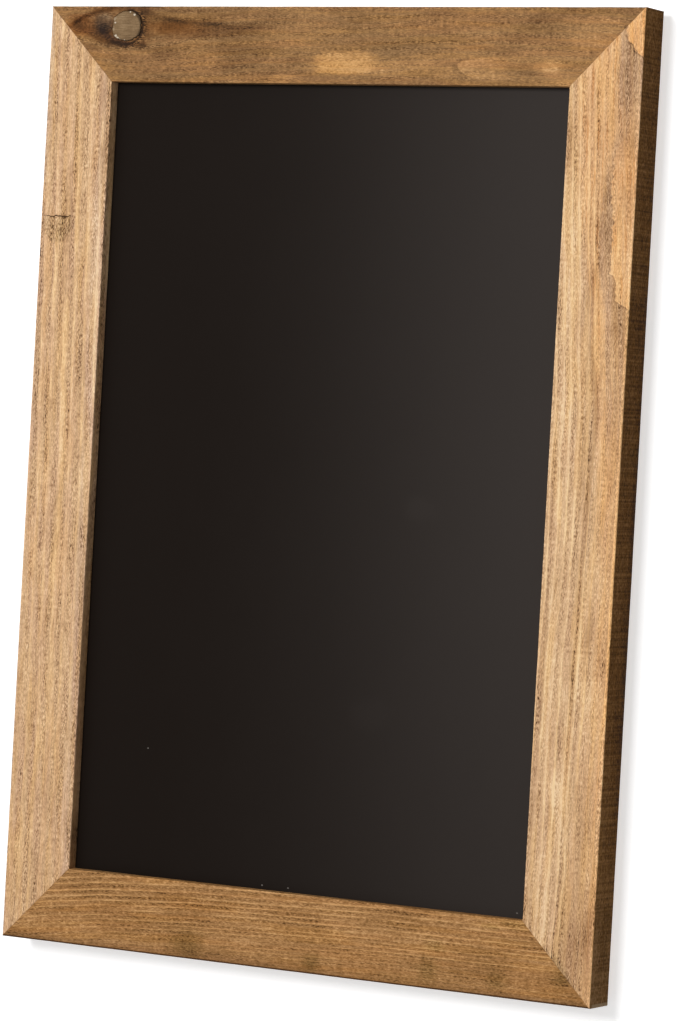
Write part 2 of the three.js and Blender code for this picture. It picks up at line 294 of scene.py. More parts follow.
# Rough dark smudges and paler spots of each rail: where they are along it and in from its outer edge, their
# half length and half width in millimetres, and how much lighter they are
SMUDGES = {
    "top": [
        (73, 25.5, 12, 6, -0.1), (48, 31, 17, 10, -0.1), (117, 31, 17, 11, -0.14), (178, 1, 24, 5, -0.1),
        (145, 30, 12, 5, 0.1), (262, 6, 44, 13, 0.14), (337, 20, 34, 24, 0.16), (318, 36, 26, 7, 0.2),
        (234, 28, 9, 12, 0.08), (300, 9, 12, 6, -0.1), (78, 10, 18, 6, -0.16), (118, 8, 20, 4, 0.2),
        (122, 22.5, 42, 5, -0.16), (27, 22, 9, 5, -0.14), (17, 10, 9, 8, -0.2), (274, 3, 14, 5, -0.12),
        (324, 7, 26, 5, 0.12), (308, 33, 10, 6, 0.2), (52, 28, 14, 4, -0.08),
    ],
    "right": [
        (70, 7, 16, 9, -0.16), (93, 18, 22, 4, -0.12), (128, 21, 9, 4, 0.16), (150, 17, 9, 4, -0.18),
        (165, 8, 9, 9, -0.12), (60, 32, 30, 9, 0.1), (150, 35, 44, 10, 0.2), (205, 32, 34, 8, 0.2),
        (228, 27, 34, 7, 0.1), (285, 34, 30, 8, 0.1), (365, 34, 66, 7, 0.16), (240, 10, 14, 6, -0.1),
        (322, 12, 18, 3.5, -0.2), (338, 18, 36, 4, 0.2), (370, 6, 60, 10, 0.12), (408, 24, 30, 6, 0.13),
        (455, 27, 46, 6, 0.14), (432, 39, 22, 4, -0.12), (465, 13, 50, 12, -0.16), (98, 5, 36, 6, -0.14),
        (102, 13, 16, 4, 0.14), (126, 17.5, 8, 4, 0.14), (204, 23.5, 12, 4, 0.16), (165, 36, 34, 6, 0.16),
        (310, 33.5, 14, 5, 0.14), (318, 13, 44, 4, -0.12), (244, 5, 16, 6, -0.12), (404, 27, 13, 7, 0.16),
        (480, 30, 16, 6, 0.14), (470, 2.5, 54, 3, -0.12), (492, 4, 30, 7, -0.16), (466, 31, 42, 6, 0.12),
    ],
    "bottom": [
        (120, 8, 15, 12, -0.28), (197, 5, 8, 9, -0.26), (267, 10, 9, 9, -0.22), (307, 9, 9, 8, -0.2),
        (345, 13, 9, 8, -0.26), (303, 36.5, 8, 3, -0.13), (45, 12, 34, 12, 0.16), (242, 12, 20, 8, 0.13),
        (230, 24, 90, 8, 0.1), (330, 20, 18, 10, 0.12), (48, 31, 18, 7, -0.1), (80, 38, 14, 4, -0.1),
        (270, 38, 20, 4, 0.12), (315, 39, 13, 3.5, -0.18), (196, 39, 12, 3.5, -0.12),
        (270, 23, 9, 4, -0.16), (222, 13, 9, 4, 0.12), (320, 15, 26, 4, 0.1),
    ],
    "left": [
        (50, 37, 26, 5, -0.14), (80, 39.5, 22, 4, -0.14), (358, 36, 13, 2.6, -0.12), (286, 9, 18, 4, -0.1),
        (336, 18.5, 9, 2.4, -0.16), (226, 13, 26, 5, -0.08), (470, 22, 22, 9, -0.04),
        (63.5, 9, 1.6, 2.4, -0.16), (108, 18, 14, 4, -0.18), (88, 28, 20, 4, 0.1), (140, 18, 64, 5, -0.14),
        (425, 23, 62, 5, -0.12), (24, 8, 12, 5, -0.16), (115, 11, 26, 4, 0.08), (150, 37, 80, 6, 0.16),
        # (345, 41, 110, 4.5, -0.18) is painted shade along the inner edge beside the sheet
        (255, 39, 40, 4, 0.14), (280, 35, 30, 6, -0.1), (356, 32, 22, 4, 0.12), (345, 41, 110, 4.5, -0.18),
        (385, 12, 50, 7, -0.08), (450, 22, 24, 7, 0.12), (132, 7.5, 15, 4, 0.1), (92, 18, 10, 4, -0.14),
        (130, 23.5, 14, 4, 0.14), (30, 28, 10, 4, -0.12), (112, 34, 19, 4, 0.2), (330, 33.5, 10, 3, 0.14),
        (216, 39, 14, 3, 0.16), (452, 39, 24, 4, -0.16), (76, 39, 20, 4, -0.1), (388, 2.5, 64, 3, -0.08),
    ],
}


def rail_place(shader, side):
    """Distance along the rail from its left or top end, in from its outer edge and behind its face, in mm."""
    x, y, z = shader.place()
    deep = y - FRONT / MM
    if side == "top":
        return x - LEFT / MM, TOP / MM - z, deep
    if side == "bottom":
        return x - LEFT / MM, z - BOTTOM / MM, deep
    if side == "right":
        return TOP / MM - z, RIGHT / MM - x, deep
    return TOP / MM - z, x - LEFT / MM, deep


class Wood:
    """One rail's shader, with the places and the uneven patterns that its marks share."""

    def __init__(self, side):
        self.side, self.look, self.shader = side, PINE[side], Shader(f"{side}_pine")
        self.tints = []
        self.tone = 0.5
        self.run, self.inward, self.deep = rail_place(self.shader, side)
        run, inward, deep, seed, uneven = self.run, self.inward, self.deep, self.look["seed"], self.uneven
        self.course = inward + deep * 0.6 - self.line(self.look["bend"])
        self.course = self.course + uneven(run / 85, inward / 26 + seed, deep / 26) * self.look["wander"]
        self.course = self.course + uneven(run / 20, inward / 7, deep / 7 + seed) * self.look["ripple"]
        if side == "top":
            self.bend_round_knot()
        self.jagged = uneven(run / 3.2, inward / 2.2, seed, 4, 0.62)
        self.smudge = uneven(run / 22, inward / 5.5, seed, 3)
        grit = self.shader.noise(run / 1.8, inward / 0.62, deep / 0.62, 2, 0.6)
        self.grit = grit.smooth(0.32, 0.68) - 0.5
        self.fibre = uneven(run / 14, self.course / 0.8, deep / 0.6 + seed)
        self.mottle = uneven(run / 3.6, inward / 2.1 + seed, deep / 2.1)
        self.blotch = uneven(run / 46, inward / 13 + seed, deep / 13, 3)
        self.sawn = uneven(run / 1.15, inward / 9, seed, 1)
        dashes = self.shader.noise(run / 7, inward / 0.5, seed * 2, 1)
        self.dashes = dashes.smooth(0.655, 0.73)

    def uneven(self, x, y, z, detail=2, roughness=0.5):
        """A noise about 0."""
        return self.shader.noise(x, y, z, detail, roughness) - 0.5

    def bend_round_knot(self):
        """Bends the growth lines round the knot."""
        down = self.inward - KNOT["inward"]
        self.knot_far = self.shader.far((self.run - KNOT["run"]) / 2.4, down)
        swirl = self.shader.math("EXPONENT", 0 - self.knot_far * self.knot_far / 170)
        self.course = self.course - down * swirl * 0.8

    def line(self, points):
        """A line drawn along the rail through a few points: its distance in from the outer edge."""
        first, length = points[0][0], points[-1][0] - points[0][0]
        low = min(level for _, level in points)
        rise = max(level for _, level in points) - low
        stops = [((place - first) / length, ((level - low) / rise,) * 3) for place, level in points]
        return self.shader.ramp((self.run - first) / length, stops) * rise + low

    def within(self, points, soft, ragged=0):
        """1 on the outer side of a line and 0 past it. ragged mixes in an uneven edge, in millimetres."""
        edge = self.line(points)
        if ragged:
            edge = edge + self.jagged * ragged
        return (edge - self.inward).smooth(0, soft)

    def stripe(self, points, half, soft=0.3):
        """1 along a line drawn on the wood, falling to 0 at half its width."""
        off = abs(self.inward - self.line(points))
        return off.smooth(half, half * soft)

    def fade(self, start, full, fading, end):
        """1 from one place along the rail to another, with soft ends."""
        return self.run.smooth(start, full) * self.run.smooth(end, fading)

    def span(self, start, end, soft):
        """The same with both ends equally soft."""
        return self.fade(start, start + soft, end - soft, end)

    def spot(self, run, inward, half_length, half_width, uneven=0.8, solid=0.6):
        """A smudged oval: 1 over its middle and 0 outside."""
        radii = (half_length, half_width)
        near = self.shader.oval(self.run, self.inward, (run, inward), radii, self.smudge * uneven)
        return near.smooth(0, solid)

    def smudges(self, uneven):
        """Draws the rail's smudges, and returns each with its amount."""
        drawn = []
        for *place, amount in SMUDGES[self.side]:
            drawn.append((self.spot(*place, uneven, 0.9), amount))
            self.shade(*drawn[-1])
        return drawn

    def shade(self, mask, amount, tint=None):
        self.tone = self.tone + mask * amount
        if tint:
            self.tint(mask, tint)

    def tint(self, mask, colour):
        self.tints.append((mask, colour))

    def grain(self):
        """Growth lines: a thin pale crest, then a fall to a broad dark band that ends at the next crest."""
        shader, look, seed = self.shader, self.look, self.look["seed"]
        uneven = self.uneven(self.course / 9, seed, 0, 1)
        cycle = (self.course - self.course * self.course * look["widen"]) / look["gap"] + uneven * 1.3
        phase = shader.math("FRACT", cycle)
        number = shader.math("FLOOR", cycle)
        bright, deep, _ = shader.noises(number * 3.7, self.run / look["broken"], seed, detail=1)
        crest = phase.smooth(0.36, 0.1) * phase.smooth(0, 0.07)
        dark = phase.smooth(0.3, 0.65) * phase.smooth(1, 0.9)
        return crest * bright.smooth(0.25, 0.65), dark * (deep.smooth(0.25, 0.7) + 0.25)

    def reach(self):
        """How strongly the growth lines show from place to place."""
        if self.side == "top":
            return self.knot_far.smooth(6, 22)
        if self.side == "bottom":
            return self.inward.smooth(-4, 30) * 0.8 + 0.4
        if self.side == "left":
            return self.run.smooth(440, 180) * 0.5 + 0.55
        return self.inward.smooth(9, 22) * (self.run.smooth(60, 260) * 0.2 + 0.65) + 0.25


def pine(side):
    """Rough-sawn stained pine for one rail."""
    wood = Wood(side)
    shader, look = wood.shader, wood.look
    crest, dark = wood.grain()
    MARKS[side](wood)
    texture = (crest * look["crest"] - dark * look["dark"]) * wood.reach() + wood.mottle * look["mottle"]
    texture = texture + wood.grit * look["grit"] * (dark * 0.6 + 0.5) + wood.fibre * look["fibre"]
    rough_side = wood.inward.smooth(32, 10) * 0.6 + 0.4
    texture = texture + wood.sawn * (wood.blotch + 0.6) * rough_side * look["saw"]
    strength = wood.tone.smooth(0.05, 0.45) * 0.6 + 0.4
    tone = wood.tone + wood.blotch * look["blotch"] + texture * strength + look["level"]

    face = shader.ramp(tone, look["stain"])
    for mask, colour in wood.tints:
        face = shader.tinted(mask, face, colour)
    streak, patch, _ = shader.noises(wood.run / 55, wood.course / 4.5, look["seed"] + 4)
    yellow = shader.math("MAXIMUM", streak.smooth(0.45, 0.65) * 0.8, crest * 0.7)
    face = shader.tinted(yellow, face, (1.04, 0.99, 0.84))
    face = shader.tinted(patch.smooth(0.44, 0.62), face, look["rosy"])
    face = arris_highlight(wood, stained_and_shaded_sides(wood, face))

    height = wood.grit * 0.5 + wood.fibre * 0.5 + crest * 0.35 - dark * 0.3
    height = height + wood.sawn * 0.6 - wood.dashes * 0.6
    return shader.finish(face, 0.72 - wood.grit * 0.2, shader.bump(height, 0.2, 0.8), specular=0.06)


def stained_and_shaded_sides(wood, face):
    """The side faces and the back took the stain darker than the front, and painted shade darkens them more.
    """
    shader, run, deep = wood.shader, wood.run, wood.deep
    uneven = wood.fibre * 0.6 + wood.grit * 0.5 + wood.mottle * 0.7 + wood.blotch * 0.7 + wood.sawn * 0.9
    # Painted shade: darker towards the back edge
    tone = 0.58 + uneven - deep * 0.007
    if wood.side == "right":
        middle = wood.fade(90, 220, 400, 470)
        # Painted shade: a dark strip along the back edge of the right side's middle stretch
        tone = tone - middle * (deep * 0.011 + deep.smooth(15, 20.5) * 0.14)
        tone = tone + middle * 0.06 + run.smooth(400, 490) * 0.2
        tone = tone + run.smooth(40, 0) * 0.05
    colour = shader.ramp(tone, SIDE_STAIN_AND_SHADE)
    if wood.side == "right":
        colour = shader.tinted(run.smooth(430, 500), colour, (0.97, 1.05, 1.28))
        worn_end = (run + wood.jagged * 7).smooth(511.3, 513.3) * deep.smooth(1.5, 4)
        colour = shader.mix(worn_end * 0.75, colour, rgb(196, 168, 132))
    outer_side = wood.inward.smooth(0.5, 0.1) * deep.smooth(0.5, 0.9)
    back = deep.smooth(20.8, 21.6)
    return shader.mix(shader.math("MAXIMUM", outer_side, back * 0.8), face, colour)


def arris_highlight(wood, face):
    """Painted highlight: the front's arrises are paler in places, though not the bottom rail's outer one."""
    shader, inward, width = wood.shader, wood.inward, RAIL_WIDTH / MM
    arris = inward.smooth(1.9, 0.9) + inward.smooth(width - 1.3, width - 0.3)
    arris = arris * wood.deep.smooth(0.7, 0.3)
    if wood.side == "bottom":
        arris = arris * inward.smooth(1.5, 3)
    arris = arris * (wood.smudge + wood.grit * 0.3).smooth(-0.25, 0.1)
    return shader.tinted(arris * 0.8, face, (1.2, 1.22, 1.25))


def top_marks(wood):
    """The knot's dark halo and tail, smudges, and a few pale patches of sapwood low on the rail."""
    knot_halo(wood)
    knot_rim(wood)
    knot_tail(wood)
    wood.smudges(1)
    line = wood.stripe([(55, 17.5), (80, 18.5), (122, 20)], 1.2)
    wood.shade(line * wood.span(72, 125, 14), 0.12)
    sapwood_patches(wood)
    wood.shade(wood.spot(351, 10.5, 1.6, 1.3, 0.2), -0.3)
    wood.shade(wood.dashes * wood.spot(200, 18, 240, 30, 0.9), -0.08)


def knot_halo(wood):
    """A lens of dark wood round the knot, darkest in a wedge on its left, with a grey patch above it."""
    lens = wood.within([(0, 4), (13, 12), (24, 18), (33, 22), (48, 24), (60, 23.5), (72, 19)], 3.5, 1.2)
    lens = lens * (1 - wood.within([(0, 15), (13, 10), (22, 5.5), (32, 1.5), (60, -1), (72, 0)], 3, 1))
    lens = lens * wood.span(8, 70, 12)
    wood.shade(lens, -0.17, (1, 0.95, 0.92))
    wood.shade(wood.spot(34.5, 12.6, 14, 8, 0.35, 1), -0.27)
    wood.shade(wood.spot(38, 17.6, 10, 5.5, 0.4, 1), -0.08)
    wood.shade(wood.spot(38, 6.8, 6.5, 5, 0.4, 0.9), 0.15)
    wood.tint(wood.spot(34.5, 8.5, 8.5, 7, 0.4), (0.88, 1.06, 1.42))
    under = wood.stripe([(26, 10.5), (34, 14.5), (40, 18), (48, 20), (58, 19.5)], 3.6, 0)
    under = under * wood.span(29, 54, 6)
    wood.shade(under, -0.11, (0.95, 0.97, 1.16))
    wood.shade(wood.spot(43, 20, 14, 5, 0.4, 1), -0.12)
    below = wood.stripe([(0, 0), (13, 7), (24, 13), (30, 17.6), (38, 20.6), (50, 21.8), (64, 21.6)], 3.4, 0)
    wood.shade(below * wood.span(18, 72, 16), -0.13)
    pale = wood.stripe([(12, 25), (30, 24.6), (46, 25.6), (62, 25)], 1.6, 0)
    wood.shade(pale * wood.span(16, 62, 12), 0.12)
    above = wood.stripe([(0, 17), (12, 11), (20, 6.5), (28, 3.5), (42, 0.8), (60, -1)], 2.4, 0)
    wood.shade(above * wood.span(6, 48, 9), -0.16)
    wood.tint(above * wood.span(6, 48, 9), RUST_TINT)
    wood.tint(wood.spot(18, 10.5, 14, 8, 0.6), (1.08, 0.92, 0.76))


def knot_rim(wood):
    """The knot's double rim on the right, and painted shade in the trench round it, heavier to the right and
    below.
    """
    shader, run, inward = wood.shader, wood.run, wood.inward
    rim_far = shader.far((run - 49.4) / 1.07, inward - 11.4) + wood.jagged * 0.9
    near_rim = abs(rim_far - 9.3).smooth(1.1, 0.2) * run.smooth(46, 53)
    far_rim = abs(rim_far - 10.8).smooth(1.8, 0.3) * (run + inward * 0.4).smooth(54, 60)
    wood.shade(near_rim, -0.28)
    wood.shade(far_rim, -0.08)
    wood.shade(far_rim * (wood.grit + wood.jagged), 0.5)
    wood.shade(wood.spot(60, 21.5, 5, 3.4, 0.5, 0.9), -0.2)
    # Painted shade in the trench round the knot
    painted_groove_shade = wood.deep.smooth(0.06, 0.3) * wood.deep.smooth(1.9, 1.7)
    painted_groove_shade = painted_groove_shade * wood.knot_far.smooth(15, 13)
    wood.shade(painted_groove_shade * ((run + inward * 0.5).smooth(45, 57) * 0.8 + 0.2), -0.5)


def knot_tail(wood):
    """The resinous tail that runs on from the knot to the right."""
    run = wood.run
    tail = wood.within([(55, 21), (90, 22), (125, 23), (165, 20)], 7, 4)
    tail = tail * (1 - wood.within([(55, 2), (72, 6.5), (90, 9), (120, 9.5), (165, 9)], 3, 3))
    tail = tail * wood.fade(54, 62, 100, 170)
    wood.shade(tail, -0.21)
    core = wood.spot(82, 12, 32, 6, 0.4, 0.8) * run.smooth(54, 62)
    wood.tint(core, (1.09, 0.92, 0.74))
    wood.shade(wood.spot(66, 12, 5.5, 5.5, 0.4, 1), 0.12)
    lead = wood.stripe([(58, 3.6), (72, 7), (92, 9), (118, 11), (150, 12)], 2, 0)
    wood.shade(lead * wood.span(58, 140, 20), -0.14)
    wood.shade(wood.spot(66, 0.5, 38, 5.5, 0.5, 0.8), -0.2)


def sapwood_patches(wood):
    """Pale yellow sapwood: a long patch, and a leaf-shaped one with a dark edge."""
    run = wood.run
    gold = wood.within([(160, 35.5), (186, 36.5), (206, 35)], 0.9, 2.5)
    gold = gold * (1 - wood.within([(160, 29), (172, 26), (190, 25), (206, 26)], 2.5, 3))
    gold = gold * (run + wood.jagged * 8).smooth(165, 173)
    gold = gold * (run + wood.jagged * 14).smooth(212, 198)
    wood.shade(gold, 0.28, (1.02, 0.98, 0.88))
    wood.shade(wood.spot(206, 32, 34, 7, 0.8), 0.08)
    wood.shade(wood.spot(150, 37.5, 10, 1.8, 0.5), 0.18)
    leaf = wood.within([(252, 30), (258, 35), (264, 38), (300, 39)], 0.6, 1.5)
    leaf = leaf * (1 - wood.within([(252, 32), (258, 29), (268, 27), (300, 27)], 1.2, 2))
    leaf = leaf * wood.fade(254, 256, 276, 300)
    wood.shade(leaf, 0.19)
    edge = wood.spot(259, 32, 8, 5.4, 0.1, 0.12) * (1 - leaf.smooth(0, 0.4))
    wood.shade(edge * run.smooth(268, 258), -0.08)
    wood.shade(wood.spot(302, 28, 20, 8, 1), 0.1)
    wood.tint(wood.spot(216, 22, 24, 14, 1.6, 1.2), (1, 1.03, 1.06))


def right_marks(wood):
    """Sapwood at the outer edge in brown wood, a golden band, an arching line and a dark corner."""
    brown = sapwood_edge(wood)
    golden_band(wood, brown)
    arching_line(wood)
    wood.smudges(0.8)
    right_edge_marks(wood)


def sapwood_edge(wood):
    """Sapwood with ragged edges along the rail's outer edge, and brown gritty wood round it."""
    run = wood.run
    gold_edge = [(0, 9), (12, 10.5), (17, 9), (20, 6), (24, 3.5), (27, -2), (34, -7), (46, -6), (58, 3)]
    gold_edge += [(75, 13), (95, 14), (110, 12), (137, 12), (139, 9), (151, 8.5), (153, 4)]
    gold_edge += [(157, -2), (170, -8)]
    hard = wood.within(gold_edge, 0.35, 5)
    gold = hard * (run.smooth(31, 29) + run.smooth(54, 92))
    outside = wood.within([(p, d + 1.5) for p, d in gold_edge], 0.8, 5) * (1 - hard)
    outside = outside * (run.smooth(31, 29) + run.smooth(76, 96))
    brown_edge = [(0, 11), (12, 15), (30, 16), (50, 13.5), (62, 12), (70, 16), (85, 19.5), (128, 21)]
    brown_edge += [(145, 18), (160, 15), (200, 13), (257, 10), (300, 14), (400, 15), (514, 17)]
    strength = [(0, 0.5), (10, 0.8), (20, 1), (46, 0.95), (60, 0.3), (80, 0.35), (98, 0.9), (150, 0.9)]
    strength += [(205, 0.5), (257, 0.2), (330, 0.3), (514, 0.3)]
    brown = wood.within(brown_edge, 3.5, 7) * (1 - gold) * wood.line(strength)
    wood.shade(brown, -0.27)
    wood.shade(brown * wood.grit, 0.16)
    wood.tint(brown, (0.98, 0.98, 1.02))
    wood.shade(outside, -0.14)
    wood.shade(gold * run.smooth(60, 30), 0.1)
    wood.shade(gold * run.smooth(100, 150), 0.08)
    wood.tint(gold * run.smooth(130, 40) * 0.9, GOLD_TINT)
    return brown


def golden_band(wood, brown):
    """Golden wood that narrows down the rail, with rusty streaks."""
    shader, run = wood.shader, wood.run
    edge = [(0, 41), (60, 38), (110, 33), (160, 24), (240, 16), (300, 10), (514, 9)]
    band = (1 - brown) * wood.within(edge, 7, 5)
    wood.tint(band * 0.85, GOLD_TINT)
    wood.shade(band * wood.within([(0, 41), (120, 33), (180, 20), (257, 9)], 5), 0.02)
    rust = shader.noise(run / 26, wood.course / 1.3, 2)
    rust = rust.smooth(0.53, 0.68) * band * run.smooth(230, 120)
    wood.shade(rust, -0.12, RUST_TINT)
    line = wood.stripe([(88, 21.5), (110, 20.6), (135, 20.5), (150, 19)], 0.9)
    wood.shade(line * wood.span(90, 148, 10), -0.2)


def arching_line(wood):
    """A dark line that arches down the rail, and the darker, dashed wood below it."""
    run = wood.run
    arch = [(120, 24), (155, 21.8), (180, 20), (195, 17), (212, 15.3), (226, 16.5), (257, 18)]
    arch += [(300, 19.3), (350, 20.5), (380, 21)]
    wood.shade(wood.stripe(arch, 2.6, 0.2) * wood.span(122, 372, 24), -0.2)
    wood.shade(wood.stripe([(p, d - 1.3) for p, d in arch], 0.7, 0.2) * wood.span(128, 300, 16), -0.12)
    lower = wood.within([(230, 15), (330, 17), (514, 19)], 4, 4) * run.smooth(200, 262)
    wood.shade(wood.dashes * lower, -0.34)
    wood.shade(wood.dashes * (1 - lower), -0.1)
    wood.tint(lower, (1, 0.97, 0.92))
    wood.shade(wood.stripe([(0, 39), (514, 39.8)], 1.6) * wood.span(120, 480, 30), -0.07)
    wood.shade(wood.spot(343, 20, 5, 26, 0.5), -0.06)
    wood.shade(wood.spot(85, 29, 34, 7, 0.9), 0.1)


def right_edge_marks(wood):
    """A dark line near the inner edge, a painted highlight along the outer arris, and a darker, greyer lower
    corner.
    """
    run = wood.run
    line = wood.stripe([(200, 38), (330, 37), (420, 38)], 1.6, 0.2)
    wood.shade(line * wood.span(210, 400, 40), -0.16)
    wood.shade(wood.spot(70, 39.5, 22, 3.4, 0.7), -0.12)
    # Painted highlight along the outer arris
    arris = wood.inward.smooth(2, 1) * wood.fade(110, 160, 360, 440)
    wood.shade(arris, 0.2, (1.02, 0.97, 0.86))
    corner = ((TOP - BOTTOM) / MM - run - wood.inward + wood.smudge * 8).smooth(7, 1)
    corner = corner * wood.inward.smooth(7, 14) * wood.inward.smooth(30, 20)
    wood.shade(corner, -0.2)
    wood.shade(corner * wood.grit, 0.2)
    wood.tint(corner, (0.94, 0.99, 1))


def bottom_marks(wood):
    """Darker smudges where the saw left the face rough, and a darker, greener outer edge, painted as shade on
    the rounded arris.
    """
    for smudge, amount in wood.smudges(1):
        if amount < -0.12:
            wood.shade(smudge * wood.grit, 0.2)
            wood.tint(smudge, (0.96, 1.01, 0.97))
    wood.shade(wood.within([(0, 14), (362, 12)], 10, 8), -0.06)
    wood.shade(wood.inward.smooth(1.2, 0.7), -0.8)
    # Painted shade: a darker, greener band along the rounded outer arris
    outer = wood.within([(0, 5), (120, 6), (362, 5)], 3.5, 5)
    wood.shade(outer, -0.14, (0.97, 1, 1.12))
    wood.shade(wood.dashes, -0.08)


def left_marks(wood):
    """The crack with painted shade in and along it, a dark patch past it, smudges, and painted shade at the
    edges.
    """
    run = wood.run
    past = run - CRACK["run"]
    patch = wood.spot(CRACK["run"] + 4, 10.5, 12, 10.5, 0.5, 0.25) * past.smooth(0, 0.6)
    wood.shade(patch, -0.19)
    wood.shade(patch * (wood.grit + wood.jagged * 1.5), 0.36)
    wood.tint(patch, (0.97, 1.01, 1))
    # Painted shade in the crack, and along its edges on the face
    painted_groove_shade = wood.deep.smooth(0.05, 0.3) * abs(past).smooth(4, 3)
    painted_groove_shade = painted_groove_shade * wood.deep.smooth(1.2, 1) * abs(wood.inward - 11).smooth(10, 9)
    wood.shade(painted_groove_shade, -0.7)
    crack_edge_shade = abs(past - wood.smudge * 2).smooth(1.6, 0.5) * wood.inward.smooth(21, 18)
    wood.shade(crack_edge_shade, -0.1)
    wood.smudges(0.9)
    # Painted shade: a darker, greyer band along the rounded outer arris, greyer near the top
    outer = wood.within([(0, 4), (257, 5), (514, 3)], 3, 4)
    wood.shade(outer, -0.09, (0.98, 1, 1.08))
    wood.tint(outer * run.smooth(120, 80), (0.95, 0.99, 1.06))
    # Painted shade: a greyer band along the inner edge, beside the sheet
    inner = (1 - wood.within([(0, 36), (514, 36.5)], 3, 3)) * wood.deep.smooth(1.2, 0.6)
    wood.tint(inner, (0.97, 1, 1.1))
    # Painted shade on the inner wall beside the sheet, heavier towards the bottom
    inner_wall_shade = wood.deep.smooth(0.8, 1.6)
    wood.shade(inner_wall_shade * (run.smooth(320, 480) * 0.3 + 0.06), -1)
    wood.shade(wood.dashes, -0.12)
    wood.shade(run.smooth(360, 500), -0.05)


MARKS = {"top": top_marks, "right": right_marks, "bottom": bottom_marks, "left": left_marks}


# Pale chips at the knot's rim: distance along the rail, in from its outer edge, and half size in millimetres
KNOT_CHIPS = [
    (42.4, 16.2, 0.9), (43.6, 17.2, 0.6), (48, 18.6, 0.6),
    (53.8, 4.7, 0.8), (41.6, 9, 0.6), (51, 3.2, 0.6),
]


def knot_wood():
    """End grain of the dead knot: grey-brown, worn flat, with a dark rim and a few pale chips at its edge."""
    shader = Shader("knot_wood")
    run, inward, _ = rail_place(shader, "top")
    across = (run - KNOT["run"]) / KNOT["half_length"]
    down = (inward - KNOT["inward"]) / KNOT["half_width"]
    far = shader.far(across, down)
    fuzz = shader.noise(run / 1.1, inward / 0.8, 4, detail=4, roughness=0.7)
    lines = shader.noise(run / 9, inward / 0.6, 6)
    cloud = shader.noise(run / 7, inward / 4, 9)
    tone = 0.5 + (fuzz - 0.5) * 0.7 + (cloud - 0.5) * 0.6 + (lines - 0.5) * 0.8
    tone = tone - down.smooth(0.2, 0.9) * 0.12
    greys = [(0, rgb(80, 60, 41)), (0.5, rgb(131, 105, 75))]
    greys += [(0.8, rgb(154, 128, 96)), (1, rgb(176, 152, 120))]
    colour = shader.ramp(tone, greys)
    dark_rim = (far + fuzz * 0.2).smooth(0.94, 1.08) * (across + down * 0.6).smooth(-0.5, 0.5)
    colour = shader.mix(dark_rim * 0.85, colour, rgb(52, 38, 25))
    crust = (far + fuzz * 0.16).smooth(0.94, 1.02) * (across - down * 0.3).smooth(-0.45, -0.85)
    crust = crust * (cloud + fuzz * 0.5).smooth(0.66, 0.84)
    colour = shader.mix(crust * 0.5, colour, rgb(190, 170, 142))
    for chip_run, chip_inward, size in KNOT_CHIPS:
        near = shader.oval(run, inward, (chip_run, chip_inward), (size, size * 0.8), (fuzz - 0.5) * 2.2)
        colour = shader.mix(near.smooth(0, 0.4), colour, rgb(206, 192, 172))
    return shader.finish(colour, 0.7, shader.bump(fuzz, 0.12, 0.7), specular=0.08)


# Specks of chalk dust on the sheet and wiped smears of chalk, in millimetres to the right of its middle and
# up from it. A smear has its middle, its half sizes and how strong it is.
DUST = [(-97.3, -146.3), (-20.9, -213.7), (-4.7, -213.7), (132.9, -213.1)]
DUST_RADII = (0.55, 0.45)
SMEARS = [((62, -7), (13, 9), 0.1), ((39, -116), (16, 11), 0.07)]


def chalk_coating():
    """Matt black writing coat with a very fine tooth, a faint haze, painted sheen towards the right and top,
    and a few specks of dust.
    """
    shader = Shader("chalk_coating")
    x, _, z = shader.place()
    up = z - MIDDLE / MM
    haze = shader.noise(x / 85, 0, up / 120, detail=3, roughness=0.55)
    cloud = shader.noise(x / 23, 5, up / 34, detail=3)
    # Painted sheen: the base colour grows lighter towards the right, and somewhat towards the top
    painted_sheen = x.smooth(-130, 150) ** 1.8
    tooth = shader.noise(x / 0.5, 0, up / 0.5)
    level = painted_sheen * (up.smooth(-330, 20) * 0.3 + 0.7) + (haze - 0.5) * 0.1 + (cloud - 0.5) * 0.05
    for centre, radii, amount in SMEARS:
        smear = shader.oval(x, up, centre, radii, (cloud - 0.5) * 1.2).smooth(0, 0.7)
        level = level + smear * amount
    colours = [(0, (0.0066, 0.0037, 0.0022)), (1, (0.0345, 0.028, 0.0245))]
    colour = shader.ramp(level + (tooth - 0.5) * 0.05, colours)
    for centre in DUST:
        speck = shader.oval(x, up, centre, DUST_RADII, (tooth - 0.5) * 1.5).smooth(0, 0.5)
        colour = shader.mix(speck * 0.6, colour, rgb(150, 145, 138))
    rough = 0.5 + (cloud - 0.5) * 0.12 + (tooth - 0.5) * 0.1
    return shader.finish(colour, rough, shader.bump(tooth, 0.03, 0.35), specular=0.05)


def hardboard():
    """Smooth brown pressed board with a faint fibre mottle and a few scuffs."""
    shader = Shader("hardboard")
    x, y, z = shader.place()
    fleck = shader.noise(x / 1.6, y / 1.6, z / 1.6, detail=4, roughness=0.7)
    cloud = shader.noise(x / 60, y / 60, z / 60)
    scuff = shader.noise(x / 90, y, z / 3.2, detail=3)
    tone = 0.5 + (fleck - 0.5) * 0.7 + (cloud - 0.5) * 0.3 + scuff.smooth(0.66, 0.75) * 0.12
    browns = [(0, (0.1, 0.05, 0.025)), (0.5, (0.235, 0.13, 0.068)), (1, (0.4, 0.25, 0.14))]
    colour = shader.ramp(tone, browns)
    return shader.finish(colour, 0.6 + (fleck - 0.5) * 0.3, shader.bump(fleck, 0.04, 0.6), specular=0.3)


